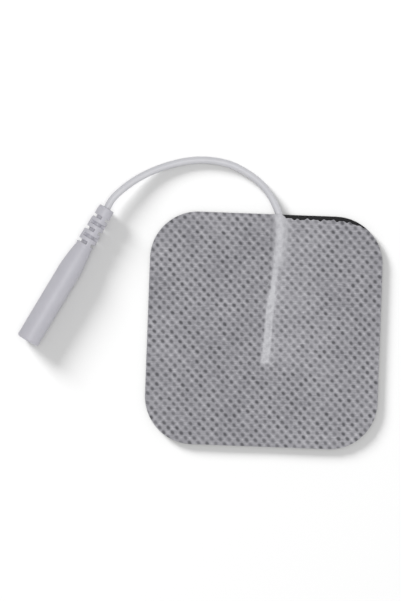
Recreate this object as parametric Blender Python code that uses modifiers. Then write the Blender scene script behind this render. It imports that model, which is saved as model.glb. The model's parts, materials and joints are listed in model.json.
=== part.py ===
"""TENS electrode pad: a square self-adhesive pad with its moulded lead and 2 mm socket plug.

From the skin side up, the pad is a sheet of hydrogel, a black carbon film and a grey non-woven backing.
The lead runs in under the backing, where its core is bared and fanned out on the film, and the backing is
tented over it. The lead's free stretch bends round to a slim plug, a PVC moulding over a brass contact.

Units are metres, +Z is up. The origin is the centre of the gel's underside, and the lead leaves the pad
over the +Y edge.
"""

import math
from functools import cache

import bmesh
import bpy
from mathutils import Matrix, Vector

# Outline that gel, film and fabric are cut to
PAD_SIZE = 0.0500
CORNER_RADIUS = 0.0103
CORNER_STEPS = 10

# Layers of the laminate, and the bond line between them
GEL_THICKNESS = 0.0009
FILM_THICKNESS = 0.00015
FABRIC_THICKNESS = 0.0004
LAYER_GAP = 0.00002

# The fabric's edge stands back from the film to the right of the lead, and this fades in the corner, out to
# a distance from the side
SETBACK = 0.0009
SETBACK_START = 0.0020
SETBACK_FADE = 0.0060
SETBACK_END = 0.0018

# The lead and its core inside the pad
LEAD_DIAMETER = 0.0015
CORE_DIAMETER = 0.0007
STRAND_DIAMETER = 0.00025
STRAND_COUNT = 5
STRAND_POINTS = 7
FAN_SPREAD = 0.0014
JACKET_INSET = 0.0100
BARE_LENGTH = 0.0222
TWIST_LENGTH = 0.0075

# The tent that the fabric makes over the lead
TENT_SKIRT = 0.0015
TENT_EASE = 0.0022

# Widest steps of the fabric's mesh: over the tent, in the flat, and round the corners
TENT_STEP = 0.0005
FLAT_STEP = 0.0030
EDGE_STEP = 0.0018

# Plug, along its own axis from the tail of the strain relief to the socket face
PLUG_LENGTH = 0.0332
BARREL_DIAMETER = 0.0050
NECK_DIAMETER = 0.00365
TAPER_LENGTH = 0.0060
EDGE_RADIUS = 0.0005
RELIEF_LENGTH = 0.0096
RELIEF_ROOT_DIAMETER = 0.0040
RELIEF_TIP_DIAMETER = 0.0035
RELIEF_ROOT_CHAMFER = 0.0004
RELIEF_TIP_RADIUS = 0.0003
SLOT_WIDTH = 0.00065
SLOT_PITCH = 0.0031
FIRST_SLOT = 0.0009
SIDE_SLOTS = 3
CROSS_SLOTS = 2
RELIEF_WALL = 0.00025
RELIEF_BRIDGE = 0.0012

# Contact inside the plug
PIN_DIAMETER = 0.0020
PIN_DEPTH = 0.0110
CONTACT_WALL = 0.0004
CONTACT_RECESS = 0.0010
CONTACT_LENGTH = 0.0130
CRIMP_DIAMETER = 0.0017
CRIMP_LENGTH = 0.0035
CRIMP_DEPTH = 0.0030
SLIT_WIDTH = 0.0003
SLIT_LENGTH = 0.0060
MOUTH_CHAMFER = 0.0003

# Clearances: round the lead, round a fitted piece, at its ends, and round the pin at the mouth
LEAD_GAP = 0.0001
FIT_GAP = 0.00005
END_GAP = 0.0003
MOUTH_GAP = 0.00015

# Facets of a turned piece, of a small round edge, and of a slot's floor
ROUND_STEPS = 32
EDGE_STEPS = 3
SLOT_STEPS = 8

# Where the plug lies: its tail on the floor plan, the way its socket points and its roll, and its hold on
# the jacket
PLUG_TAIL = (-0.0346, 0.0250)
PLUG_HEADING = math.radians(241.1)
PLUG_ROLL = math.radians(-22.5)
JACKET_GRIP = 0.0120

# Plan of the buried run, from the ends of the strands to the pad's edge
BURIED_RUN = [
    (0.00036, -0.0072),
    (0.00080, -0.0030),
    (0.00106, 0.0025),
    (0.00150, 0.0077),
    (0.00200, 0.0128),
    (0.00260, 0.0180),
    (0.00265, 0.0222),
    (0.00230, 0.0250),
]

# Route of the free stretch, where the third number is the height of the lead's underside over the floor
FREE_RUN = [
    (0.00185, 0.0262, 0.00112),
    (0.0007, 0.0284, 0.00090),
    (-0.0012, 0.0309, 0.00052),
    (-0.0039, 0.0331, 0.00020),
    (-0.0075, 0.0350, 0.00005),
    (-0.0110, 0.0359, 0.00004),
    (-0.0150, 0.0361, 0.00004),
    (-0.0190, 0.0355, 0.00008),
    (-0.0236, 0.0340, 0.00036),
    (-0.0276, 0.0320, 0.00088),
    (-0.0308, 0.0297, 0.00140),
    (-0.03335, 0.0272, 0.00170),
]

# Heights of the laminate's faces
FILM_BASE = GEL_THICKNESS + LAYER_GAP
FILM_TOP = FILM_BASE + FILM_THICKNESS
FABRIC_BASE = FILM_TOP + LAYER_GAP

# Places along the buried run: the pad's edge, and the ends of the jacket, the twisted core and the strands
PAD_EDGE = PAD_SIZE / 2
JACKET_END = PAD_EDGE - JACKET_INSET
TWIST_END = JACKET_END - TWIST_LENGTH
STRAND_END = JACKET_END - BARE_LENGTH
LEAD_AXIS = FILM_TOP + LEAD_GAP + LEAD_DIAMETER / 2
CORE_AXIS = FABRIC_BASE + CORE_DIAMETER / 2

# Places along the plug's axis
CONTACT_FACE = PLUG_LENGTH - CONTACT_RECESS
CONTACT_SHOULDER = CONTACT_FACE - CONTACT_LENGTH
CRIMP_TAIL = CONTACT_SHOULDER - CRIMP_LENGTH

PARTS = "tens_electrode_pad"
CUTTERS = "cutters"


def clear_scene():
    """Remove every object and collection, and make the two collections that are used here."""
    for item in list(bpy.data.objects):
        bpy.data.objects.remove(item, do_unlink=True)
    for item in list(bpy.data.collections):
        bpy.data.collections.remove(item)
    for name in (PARTS, CUTTERS):
        bpy.context.scene.collection.children.link(bpy.data.collections.new(name))


def material(name, colour, roughness, metallic=0.0):
    """Return a Principled material."""
    result = bpy.data.materials.new(name)
    result.use_nodes = True
    shader = result.node_tree.nodes["Principled BSDF"]
    shader.inputs["Base Color"].default_value = (*colour, 1.0)
    shader.inputs["Roughness"].default_value = roughness
    shader.inputs["Metallic"].default_value = metallic
    return result


def place(name, data, look, collection=PARTS, parent=None):
    """Link a new object with its material into a collection, under a parent if one is given."""
    result = bpy.data.objects.new(name, data)
    data.materials.append(look)
    bpy.data.collections[collection].objects.link(result)
    result.parent = parent
    return result


def as_mesh(item):
    """Swap a curve object for a welded mesh object of the same name, place and material."""
    bpy.context.view_layer.update()
    evaluated = item.evaluated_get(bpy.context.evaluated_depsgraph_get())
    data = bpy.data.meshes.new_from_object(evaluated)
    shell = bmesh.new()
    shell.from_mesh(data)
    bmesh.ops.remove_doubles(shell, verts=shell.verts, dist=1e-7)
    shell.to_mesh(data)
    shell.free()
    result = bpy.data.objects.new("swap", data)
    item.users_collection[0].objects.link(result)
    result.matrix_world = item.matrix_world.copy()
    name = item.name
    bpy.data.objects.remove(item, do_unlink=True)
    result.name = name
    return result


def boolean(item, cutter, operation):
    """Join or cut an object by another, which is then hidden."""
    modifier = item.modifiers.new(f"{operation.lower()} {cutter.name}", "BOOLEAN")
    modifier.operation = operation
    modifier.object = cutter
    modifier.solver = "EXACT"
    cutter.hide_render = True
    cutter.display_type = "WIRE"


def ease(value, start, end):
    """Rise smoothly from 0 at start to 1 at end."""
    share = min(max((value - start) / (end - start), 0.0), 1.0)
    return share * share * (3 - 2 * share)


def outline():
    """Return the pad's outline, a square with round corners, as points in the plane."""
    centre = PAD_EDGE - CORNER_RADIUS
    points = []
    for quarter in range(4):
        middle = math.radians(90 * quarter + 45)
        x = math.copysign(centre, math.cos(middle))
        y = math.copysign(centre, math.sin(middle))
        for step in range(CORNER_STEPS + 1):
            angle = math.radians(90 * (quarter + step / CORNER_STEPS))
            points.append((x + CORNER_RADIUS * math.cos(angle), y + CORNER_RADIUS * math.sin(angle)))
    return points


def add_layer(name, thickness, base, look):
    """Make a flat layer of the pad's outline, standing at the height base."""
    curve = bpy.data.curves.new(name, "CURVE")
    curve.dimensions = "2D"
    curve.fill_mode = "BOTH"
    curve.extrude = thickness / 2
    curve.render_resolution_u = 0
    points = outline()
    spline = curve.splines.new("POLY")
    spline.points.add(len(points) - 1)
    for point, (x, y) in zip(spline.points, points):
        point.co = (x, y, 0.0, 1.0)
    spline.use_cyclic_u = True
    layer = place(name, curve, look)
    layer.location.z = base + thickness / 2


def catmull_rom(a, b, c, d, t):
    """Return the point at t between b and c on the smooth curve through four points."""
    return 0.5 * (
        2 * b
        + (c - a) * t
        + (2 * a - 5 * b + 4 * c - d) * t**2
        + (3 * b - 3 * c + d - a) * t**3
    )


def smooth_path(points, step):
    """Return evenly spaced points, about step apart, along the smooth curve through the given points."""
    points = [Vector(point) for point in points]
    guided = [2 * points[0] - points[1], *points, 2 * points[-1] - points[-2]]
    fine = [
        catmull_rom(*guided[i : i + 4], n / 24) for i in range(len(points) - 1) for n in range(24)
    ]
    fine.append(points[-1])
    lengths = [0.0]
    for a, b in zip(fine, fine[1:]):
        lengths.append(lengths[-1] + (b - a).length)
    count = max(2, round(lengths[-1] / step))
    result, i = [], 0
    for n in range(count + 1):
        wanted = lengths[-1] * n / count
        while i < len(fine) - 2 and lengths[i + 1] < wanted:
            i += 1
        share = (wanted - lengths[i]) / (lengths[i + 1] - lengths[i])
        result.append(fine[i].lerp(fine[i + 1], min(share, 1.0)))
    return result


def add_tube(name, points, diameter, look, collection=PARTS, parent=None):
    """Make a round wire through the given points, with filled ends."""
    curve = bpy.data.curves.new(name, "CURVE")
    curve.dimensions = "3D"
    curve.bevel_depth = diameter / 2
    curve.bevel_resolution = 2
    curve.use_fill_caps = True
    curve.render_resolution_u = 0
    spline = curve.splines.new("POLY")
    spline.points.add(len(points) - 1)
    for point, co in zip(spline.points, points):
        point.co = (*co, 1.0)
    return place(name, curve, look, collection, parent)


@cache
def buried_path():
    """Return fine points along the plan of the buried run."""
    return smooth_path([(x, y, 0.0) for x, y in BURIED_RUN], TENT_STEP)


def run_x(y):
    """Return the x of the buried run at a given y."""
    path = buried_path()
    for a, b in zip(path, path[1:]):
        if y <= b.y:
            return a.lerp(b, max((y - a.y) / (b.y - a.y), 0.0)).x
    return path[-1].x


def tent_height(x, y):
    """Return how far the fabric's underside stands off the pad's flat at a point."""
    on_core = 1 - ease(y, JACKET_END - TENT_EASE, JACKET_END - LEAD_GAP)
    on_fan = 1 - ease(y, TWIST_END - TENT_EASE, TWIST_END - LEAD_GAP)
    spread = 1 - ease(y, TWIST_END - TENT_EASE, TWIST_END + TENT_EASE)
    over_jacket = LEAD_AXIS + LEAD_DIAMETER / 2 + LEAD_GAP - FABRIC_BASE
    over_core = CORE_DIAMETER + LEAD_GAP
    over_fan = STRAND_DIAMETER + LEAD_GAP
    height = over_jacket + (over_core - over_jacket) * on_core + (over_fan - over_core) * on_fan
    height *= ease(y, STRAND_END - TENT_EASE, STRAND_END - LEAD_GAP)
    radius = LEAD_DIAMETER / 2 + (CORE_DIAMETER - LEAD_DIAMETER) / 2 * on_core
    crest = FAN_SPREAD / 2 * spread
    distance = max(abs(x - run_x(y)) - crest, 0.0) / (radius + TENT_SKIRT)
    return height * (1 + math.cos(math.pi * min(distance, 1.0))) / 2


def stations(breaks, steps):
    """Return positions through the sorted breaks; each span is cut to at most its own step."""
    result = [breaks[0]]
    for a, b, step in zip(breaks, breaks[1:], steps):
        count = max(1, math.ceil((b - a) / step - 1e-6))
        result += [a + (b - a) * n / count for n in range(1, count + 1)]
    return result


def fabric_columns():
    """Return the mesh's columns as distances across the pad, with the tent's crest at 0."""
    band = FAN_SPREAD / 2 + STRAND_DIAMETER / 2 + TENT_SKIRT
    corner = PAD_EDGE - CORNER_RADIUS
    breaks = [-PAD_EDGE, -corner, -band, 0.0, band, corner, PAD_EDGE]
    return stations(breaks, [EDGE_STEP, FLAT_STEP, TENT_STEP, TENT_STEP, FLAT_STEP, EDGE_STEP])


def fabric_rows():
    """Return the mesh's rows as places along the pad, with one at each change of the tent."""
    corner = PAD_EDGE - CORNER_RADIUS
    changes = [STRAND_END, TWIST_END, JACKET_END]
    breaks = sorted([-PAD_EDGE, -corner, *changes, *(y - TENT_EASE for y in changes), corner, PAD_EDGE])
    return stations(breaks, [EDGE_STEP] * len(breaks))


def fabric_point(across, y):
    """Return the place on the fabric's underside of one crossing of the mesh."""
    corner = PAD_EDGE - CORNER_RADIUS
    x = across + run_x(y) * (1 - ease(abs(across), 0.0, corner) ** 2)
    over_x, over_y = abs(x) - corner, abs(y) - corner
    if over_x > 0 and over_y > 0:
        shrink = max(over_x, over_y) / math.hypot(over_x, over_y)
        x = math.copysign(corner + over_x * shrink, x)
        y = math.copysign(corner + over_y * shrink, y)
    height = tent_height(x, y)
    exit_x = run_x(PAD_EDGE)
    fade_end = PAD_EDGE - SETBACK_END
    shown = ease(x, exit_x, exit_x + SETBACK_START) * (1 - ease(x, fade_end - SETBACK_FADE, fade_end))
    return Vector((x, y - SETBACK * shown * ease(y, 0.0, PAD_EDGE), FABRIC_BASE + height))


def add_fabric(look):
    """Make the backing: a grid laid over the lead, trimmed to the outline and given its thickness."""
    columns, rows = fabric_columns(), fabric_rows()
    grid = bmesh.new()
    bmesh.ops.create_grid(grid, x_segments=len(columns) - 1, y_segments=len(rows) - 1, size=1.0)
    for vert in grid.verts:
        i = round((vert.co.x + 1) / 2 * (len(columns) - 1))
        j = round((vert.co.y + 1) / 2 * (len(rows) - 1))
        vert.co = fabric_point(columns[i], rows[j])
    data = bpy.data.meshes.new("fabric_backing")
    grid.to_mesh(data)
    grid.free()
    fabric = place("fabric_backing", data, look)
    wall = fabric.modifiers.new("thickness", "SOLIDIFY")
    wall.thickness = FABRIC_THICKNESS
    wall.offset = 1.0
    wall.use_even_offset = True


def plug_frame():
    """Make the empty that carries the plug: its +Z runs from the tail to the socket face."""
    frame = bpy.data.objects.new("plug_frame", None)
    bpy.data.collections[PARTS].objects.link(frame)
    turn = Matrix.Rotation(PLUG_HEADING, 4, "Z") @ Matrix.Rotation(math.radians(90), 4, "Y")
    roll = Matrix.Rotation(PLUG_ROLL, 4, "Z")
    frame.matrix_world = Matrix.Translation((*PLUG_TAIL, BARREL_DIAMETER / 2)) @ turn @ roll
    return frame


def add_lead(frame, look):
    """Make the jacket: along the film, over the pad's edge, round to the plug and into it."""
    buried = [JACKET_END + JACKET_INSET * n / 3 for n in range(4)]
    route = [(run_x(y), y, LEAD_AXIS) for y in buried]
    route += [(x, y, underside + LEAD_DIAMETER / 2) for x, y, underside in FREE_RUN]
    route += [frame.matrix_world @ Vector((0, 0, JACKET_GRIP * n / 3)) for n in range(4)]
    add_tube("lead_wire", smooth_path(route, 2 * LEAD_DIAMETER), LEAD_DIAMETER, look)


def add_core(look):
    """Make the stripped core: a twisted bundle that drops to the film and fans out into strands."""
    start = JACKET_END - END_GAP
    points = []
    for y in stations([TWIST_END, start], [LEAD_DIAMETER / 2]):
        drop = ease(JACKET_END - y, 0.0, LEAD_DIAMETER)
        points.append(Vector((run_x(y), y, LEAD_AXIS + (CORE_AXIS - LEAD_AXIS) * drop)))
    core = as_mesh(add_tube("bare_conductor", points, CORE_DIAMETER, look))
    for n in range(STRAND_COUNT):
        side = 2 * n / (STRAND_COUNT - 1) - 1
        path = strand_path(side)
        strand = as_mesh(add_tube(f"strand_{n}", path, STRAND_DIAMETER, look, CUTTERS))
        boolean(core, strand, "UNION")


def strand_path(side):
    """Return the points of a strand, which side, from -1 to 1, places across the fan."""
    rooted = side * (CORE_DIAMETER - STRAND_DIAMETER) / 2
    spread = side * FAN_SPREAD / 2
    root = TWIST_END + 2 * CORE_DIAMETER
    points = [Vector((run_x(root) + rooted, root, CORE_AXIS))]
    for n in range(STRAND_POINTS):
        share = n / (STRAND_POINTS - 1)
        y = TWIST_END + (STRAND_END - TWIST_END) * share
        x = run_x(y) + rooted + (spread - rooted) * ease(share, 0.0, 0.6)
        points.append(Vector((x, y, FABRIC_BASE + STRAND_DIAMETER / 2)))
    return points


def add_turned(name, profile, closed, look, frame):
    """Turn a profile of (radius, height) points about the plug's axis."""
    count = len(profile)
    edges = [(n, (n + 1) % count) for n in range(count if closed else count - 1)]
    data = bpy.data.meshes.new(name)
    data.from_pydata([(radius, 0.0, height) for radius, height in profile], edges, [])
    turned = place(name, data, look, parent=frame)
    screw = turned.modifiers.new("turn", "SCREW")
    screw.axis = "Z"
    screw.steps = ROUND_STEPS
    screw.render_steps = ROUND_STEPS
    screw.use_merge_vertices = True
    screw.merge_threshold = 1e-6
    screw.use_smooth_shade = True
    return turned


def round_edge(radius, height, size, first_angle):
    """Return a quarter turn of points that rounds the edge of a profile, centred inside it."""
    angles = [math.radians(first_angle - 90 * n / EDGE_STEPS) for n in range(EDGE_STEPS + 1)]
    return [(radius + size * math.cos(angle), height + size * math.sin(angle)) for angle in angles]


def plug_profile():
    """Return the section of the plug's wall, down its outside and back up through its bores."""
    barrel, neck = BARREL_DIAMETER / 2, NECK_DIAMETER / 2
    root, tip = RELIEF_ROOT_DIAMETER / 2, RELIEF_TIP_DIAMETER / 2
    outside = round_edge(barrel - EDGE_RADIUS, PLUG_LENGTH - EDGE_RADIUS, EDGE_RADIUS, 90)
    for share in (0.0, 0.35, 0.65, 0.85, 1.0):
        outside.append((barrel - (barrel - neck) * share**1.5, RELIEF_LENGTH + TAPER_LENGTH * (1 - share)))
    outside.append((root, RELIEF_LENGTH - RELIEF_ROOT_CHAMFER))
    outside += round_edge(tip - RELIEF_TIP_RADIUS, RELIEF_TIP_RADIUS, RELIEF_TIP_RADIUS, 0)
    lead = LEAD_DIAMETER / 2 + LEAD_GAP
    core = CORE_DIAMETER / 2 + FIT_GAP
    crimp = CRIMP_DIAMETER / 2 + FIT_GAP
    contact = PIN_DIAMETER / 2 + CONTACT_WALL + FIT_GAP
    mouth = PIN_DIAMETER / 2 + MOUTH_GAP
    inside = [
        (lead, 0.0),
        (lead, JACKET_GRIP + END_GAP),
        (core, JACKET_GRIP + END_GAP),
        (core, CRIMP_TAIL - END_GAP),
        (crimp, CRIMP_TAIL - END_GAP),
        (crimp, CONTACT_SHOULDER - END_GAP),
        (contact, CONTACT_SHOULDER - END_GAP),
        (contact, CONTACT_FACE + END_GAP),
        (mouth, CONTACT_FACE + END_GAP),
        (mouth, PLUG_LENGTH - MOUTH_CHAMFER),
        (mouth + MOUTH_CHAMFER, PLUG_LENGTH),
    ]
    return outside + inside


def add_cutter(name, shell, look, frame):
    """Make a cutter from a bmesh, which is freed."""
    data = bpy.data.meshes.new(name)
    shell.to_mesh(data)
    shell.free()
    return place(name, data, look, CUTTERS, frame)


def slot_section(turn):
    """Return the section of a slot, which faces +Y turned by an angle.

    It goes in to a sleeve round the lead, and leaves a bridge on either side of it.
    """
    sleeve = LEAD_DIAMETER / 2 + LEAD_GAP + RELIEF_WALL
    half, reach = RELIEF_BRIDGE / 2, RELIEF_ROOT_DIAMETER
    start = math.asin(half / sleeve)
    section = [(-reach, half), (-reach, reach), (reach, reach), (reach, half)]
    for n in range(SLOT_STEPS + 1):
        angle = start + (math.pi - 2 * start) * n / SLOT_STEPS
        section.append((sleeve * math.cos(angle), sleeve * math.sin(angle)))
    spin = Matrix.Rotation(turn, 2)
    return [spin @ Vector(point) for point in section]


def add_prism(shell, section, base, height):
    """Add an upright prism to a bmesh."""
    lower = [shell.verts.new((*point, base)) for point in section]
    upper = [shell.verts.new((*point, base + height)) for point in section]
    count = len(section)
    shell.faces.new(lower)
    shell.faces.new(reversed(upper))
    for n in range(count):
        after = (n + 1) % count
        shell.faces.new((lower[n], upper[n], upper[after], lower[after]))


def relief_slots():
    """Return the strain relief's slots, in turn from the sides and from above and below, as a bmesh."""
    shell = bmesh.new()
    for count, shift, turn in ((SIDE_SLOTS, 0.0, 0.0), (CROSS_SLOTS, 0.5, math.pi / 2)):
        for n in range(count):
            base = RELIEF_LENGTH - FIRST_SLOT - SLOT_PITCH * (n + shift) - SLOT_WIDTH / 2
            for section in (slot_section(turn), slot_section(turn + math.pi)):
                add_prism(shell, section, base, SLOT_WIDTH)
    bmesh.ops.recalc_face_normals(shell, faces=shell.faces)
    return shell


def add_plug(frame, look):
    """Make the plug's moulding: the barrel, and the strain relief with its slots."""
    plug = add_turned("plug_body", plug_profile(), True, look, frame)
    boolean(plug, add_cutter("relief_slots", relief_slots(), look, frame), "DIFFERENCE")


def add_contact(frame, look):
    """Make the contact: a slit socket for the pin in front, and a crimp barrel behind."""
    pin, outer = PIN_DIAMETER / 2, PIN_DIAMETER / 2 + CONTACT_WALL
    crimp, core = CRIMP_DIAMETER / 2, CORE_DIAMETER / 2 + FIT_GAP
    profile = [
        (0.0, CONTACT_FACE - PIN_DEPTH),
        (pin, CONTACT_FACE - PIN_DEPTH),
        (pin, CONTACT_FACE),
        (outer, CONTACT_FACE),
        (outer, CONTACT_SHOULDER),
        (crimp, CONTACT_SHOULDER),
        (crimp, CRIMP_TAIL),
        (core, CRIMP_TAIL),
        (core, CRIMP_TAIL + CRIMP_DEPTH),
        (0.0, CRIMP_TAIL + CRIMP_DEPTH),
    ]
    contact = add_turned("socket_contact", profile, False, look, frame)
    slit = bmesh.new()
    size = Vector((SLIT_WIDTH, 2 * PIN_DIAMETER, 2 * SLIT_LENGTH))
    bmesh.ops.create_cube(slit, size=1.0, matrix=Matrix.LocRotScale(Vector((0, 0, CONTACT_FACE)), None, size))
    boolean(contact, add_cutter("spring_slit", slit, look, frame), "DIFFERENCE")


def add_core_tail(frame, look):
    """Make the stripped core that runs from the jacket's end into the crimp barrel."""
    ends = [(0, 0, JACKET_GRIP + END_GAP), (0, 0, CRIMP_TAIL + CRIMP_DEPTH - END_GAP)]
    add_tube("conductor_tail", ends, CORE_DIAMETER, look, parent=frame)


def main():
    """Build the pad from the skin side up, then the lead and the plug."""
    clear_scene()
    copper = material("tinned_copper", (0.72, 0.70, 0.67), 0.35, 1.0)
    grey_pvc = material("grey_pvc", (0.52, 0.52, 0.55), 0.45)
    add_layer("hydrogel", GEL_THICKNESS, 0.0, material("hydrogel", (0.80, 0.82, 0.78), 0.15))
    add_layer("carbon_film", FILM_THICKNESS, FILM_BASE, material("carbon_film", (0.02, 0.02, 0.02), 0.5))
    add_core(copper)
    add_fabric(material("grey_nonwoven", (0.30, 0.30, 0.32), 0.9))
    frame = plug_frame()
    bpy.context.view_layer.update()
    add_lead(frame, grey_pvc)
    add_plug(frame, grey_pvc)
    add_contact(frame, material("nickel_plate", (0.66, 0.64, 0.60), 0.3, 1.0))
    add_core_tail(frame, copper)


main()
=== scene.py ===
"""Looks of a TENS electrode pad: its finishes, its non-woven backing, its gel, its lead and its plug.

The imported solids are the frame. The carbon film and the stripped core keep their solids and get a finish.
The gel, the backing, the lead, the plug's moulding and its contact are modelled here in the same places.
All lengths are metres in the part's own frame: +Z is up, and the lead leaves the pad over its +Y edge.
"""

from __future__ import annotations

import json
import logging
import math
from collections.abc import Iterator
from contextlib import contextmanager
from dataclasses import dataclass
from enum import Enum

import bpy
import numpy as np
from mathutils import Matrix, Vector

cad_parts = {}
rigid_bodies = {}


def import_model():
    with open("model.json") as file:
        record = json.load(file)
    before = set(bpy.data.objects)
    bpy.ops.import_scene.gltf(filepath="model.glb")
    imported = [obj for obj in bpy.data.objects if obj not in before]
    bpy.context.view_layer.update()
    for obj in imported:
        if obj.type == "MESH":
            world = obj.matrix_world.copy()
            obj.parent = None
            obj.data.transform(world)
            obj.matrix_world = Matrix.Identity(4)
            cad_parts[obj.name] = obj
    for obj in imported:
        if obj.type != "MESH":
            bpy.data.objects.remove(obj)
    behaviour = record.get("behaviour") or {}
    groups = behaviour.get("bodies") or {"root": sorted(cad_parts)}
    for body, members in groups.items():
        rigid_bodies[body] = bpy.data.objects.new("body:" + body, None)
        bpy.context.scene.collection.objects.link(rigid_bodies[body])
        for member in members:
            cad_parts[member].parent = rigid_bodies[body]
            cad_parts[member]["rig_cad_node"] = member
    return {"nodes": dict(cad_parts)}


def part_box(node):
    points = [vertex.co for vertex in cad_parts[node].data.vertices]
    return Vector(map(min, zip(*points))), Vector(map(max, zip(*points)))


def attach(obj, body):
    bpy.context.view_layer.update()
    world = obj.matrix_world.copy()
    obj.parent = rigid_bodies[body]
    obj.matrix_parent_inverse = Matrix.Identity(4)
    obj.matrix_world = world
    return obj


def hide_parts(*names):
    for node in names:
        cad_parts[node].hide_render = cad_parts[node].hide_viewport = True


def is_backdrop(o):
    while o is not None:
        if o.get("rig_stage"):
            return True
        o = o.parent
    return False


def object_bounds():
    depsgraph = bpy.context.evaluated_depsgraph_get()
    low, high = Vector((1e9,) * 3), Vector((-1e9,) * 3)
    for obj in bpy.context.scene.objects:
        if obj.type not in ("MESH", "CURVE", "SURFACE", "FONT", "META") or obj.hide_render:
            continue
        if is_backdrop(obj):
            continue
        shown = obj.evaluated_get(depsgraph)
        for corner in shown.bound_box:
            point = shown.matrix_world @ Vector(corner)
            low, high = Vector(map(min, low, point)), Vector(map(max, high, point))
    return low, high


MM = 0.001
NIL = 1e-6  # a length, in metres, that counts as none
SPAN_STEPS = 24  # points worked out between two points of a path
LOG = logging.getLogger("tens_pad")

Span = tuple[float, float]
Station = tuple[float, float]


class Node(str, Enum):
    """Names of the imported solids."""

    GEL = "hydrogel"
    FILM = "carbon_film"
    CORE = "bare_conductor"
    FABRIC = "fabric_backing"
    LEAD = "lead_wire"
    PLUG = "plug_body"
    CONTACT = "socket_contact"
    CORE_TAIL = "conductor_tail"


class Slot(str, Enum):
    """Material slots of the record."""

    GEL = "hydrogel"
    FILM = "carbon_film"
    COPPER = "tinned_copper"
    FABRIC = "grey_nonwoven"
    LEAD = "lead_pvc"
    PLUG = "plug_pvc"
    NICKEL = "nickel_plate"


class SlotFacing(Enum):
    """Which sides of the strain relief a slot is cut from, as the plug's own axis that it faces."""

    SIDES = 1
    TOP_AND_BOTTOM = 0


# Shared tools: selection, point arrays, curves and shader nodes


def select_only(item: bpy.types.Object | None) -> None:
    """Deselect everything, then select one object and make it active.

    Args:
        item: the object, or None to leave nothing selected.
    """
    bpy.ops.object.select_all(action="DESELECT")
    if item is not None:
        item.select_set(True)
        bpy.context.view_layer.objects.active = item


@contextmanager
def editing(item: bpy.types.Object, whole: bool = True) -> Iterator[None]:
    """Hold one object in edit mode.

    Args:
        item: a mesh object.
        whole: whether all of its mesh is selected first. Without it, the selection is kept.

    Yields:
        Nothing; edit mode ends with the block.
    """
    select_only(item)
    bpy.ops.object.mode_set(mode="EDIT")
    if whole:
        bpy.ops.mesh.select_all(action="SELECT")
    try:
        yield
    finally:
        bpy.ops.object.mode_set(mode="OBJECT")


def settle(item: bpy.types.Object, place: Matrix | None = None) -> None:
    """Put an object in its place and press that place into its mesh, so that it sits at the origin.

    Args:
        item: the object.
        place: where it goes, or None to keep its place.
    """
    select_only(item)
    if place is not None:
        item.matrix_world = place
    bpy.ops.object.transform_apply(location=True, rotation=True, scale=True)


def apply_modifiers(item: bpy.types.Object) -> None:
    """Apply every modifier of an object, in order.

    Args:
        item: the object.
    """
    select_only(item)
    for modifier in list(item.modifiers):
        bpy.ops.object.modifier_apply(modifier=modifier.name)


def shade(item: bpy.types.Object, crease_deg: float) -> None:
    """Shade an object smooth, apart from creases.

    Args:
        item: the object.
        crease_deg: the angle in degrees past which an edge stays sharp.
    """
    select_only(item)
    bpy.ops.object.shade_smooth_by_angle(angle=math.radians(crease_deg))


def read_points(item: bpy.types.Object) -> np.ndarray:
    """Read where a mesh object's points are.

    Args:
        item: the mesh object.

    Returns:
        An array with a row for each point.
    """
    points = np.empty(len(item.data.vertices) * 3, np.float32)
    item.data.vertices.foreach_get("co", points)
    return points.reshape(-1, 3).astype(float)


def write_points(item: bpy.types.Object, points: np.ndarray) -> None:
    """Move a mesh object's points to the rows of an array."""
    item.data.vertices.foreach_set("co", points.astype(np.float32).ravel())
    item.data.update()


def paint(item: bpy.types.Object, name: str, values: np.ndarray) -> None:
    """Store one number for each point of a mesh, for its material to read.

    Args:
        item: the mesh object.
        name: the attribute's name.
        values: one number for each point.
    """
    attribute = item.data.attributes.new(name, "FLOAT", "POINT")
    attribute.data.foreach_set("value", values.astype(np.float32))


def ease(values: np.ndarray | float, start: float, end: float) -> np.ndarray:
    """Return values that rise smoothly from 0 at start to 1 at end."""
    share = np.clip((np.asarray(values, float) - start) / (end - start), 0.0, 1.0)
    return share * share * (3 - 2 * share)


def smooth_path(points: list[Vector], step: float) -> list[Vector]:
    """Follow the Catmull-Rom curve through some points.

    Args:
        points: the points that it goes through.
        step: about how far apart the points of the result are.

    Returns:
        Evenly spaced points along the curve, both ends included.
    """
    guided = [2 * points[0] - points[1], *points, 2 * points[-1] - points[-2]]
    fine = []
    for a, b, c, d in zip(guided, guided[1:], guided[2:], guided[3:]):
        for t in np.arange(SPAN_STEPS) / SPAN_STEPS:
            bend = (2 * a - 5 * b + 4 * c - d) * t**2 + (3 * b - 3 * c + d - a) * t**3
            fine.append(np.array(0.5 * (2 * b + (c - a) * t + bend)))
    fine = np.array([*fine, np.array(points[-1])])
    lengths = np.concatenate([[0.0], np.cumsum(np.linalg.norm(np.diff(fine, axis=0), axis=1))])
    wanted = np.linspace(0.0, lengths[-1], max(2, round(lengths[-1] / step)) + 1)
    return [Vector(row) for row in np.stack([np.interp(wanted, lengths, axis) for axis in fine.T], axis=1)]


def linear(code: str) -> tuple[float, float, float, float]:
    """Turn an sRGB hex colour into the linear colour that shaders take.

    Args:
        code: the colour, such as "#C8C8CC".

    Returns:
        Linear red, green and blue, and an alpha of 1.
    """
    shares = [int(code[i : i + 2], 16) / 255 for i in (1, 3, 5)]
    red, green, blue = (s / 12.92 if s <= 0.04045 else ((s + 0.055) / 1.055) ** 2.4 for s in shares)
    return (red, green, blue, 1.0)


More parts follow.
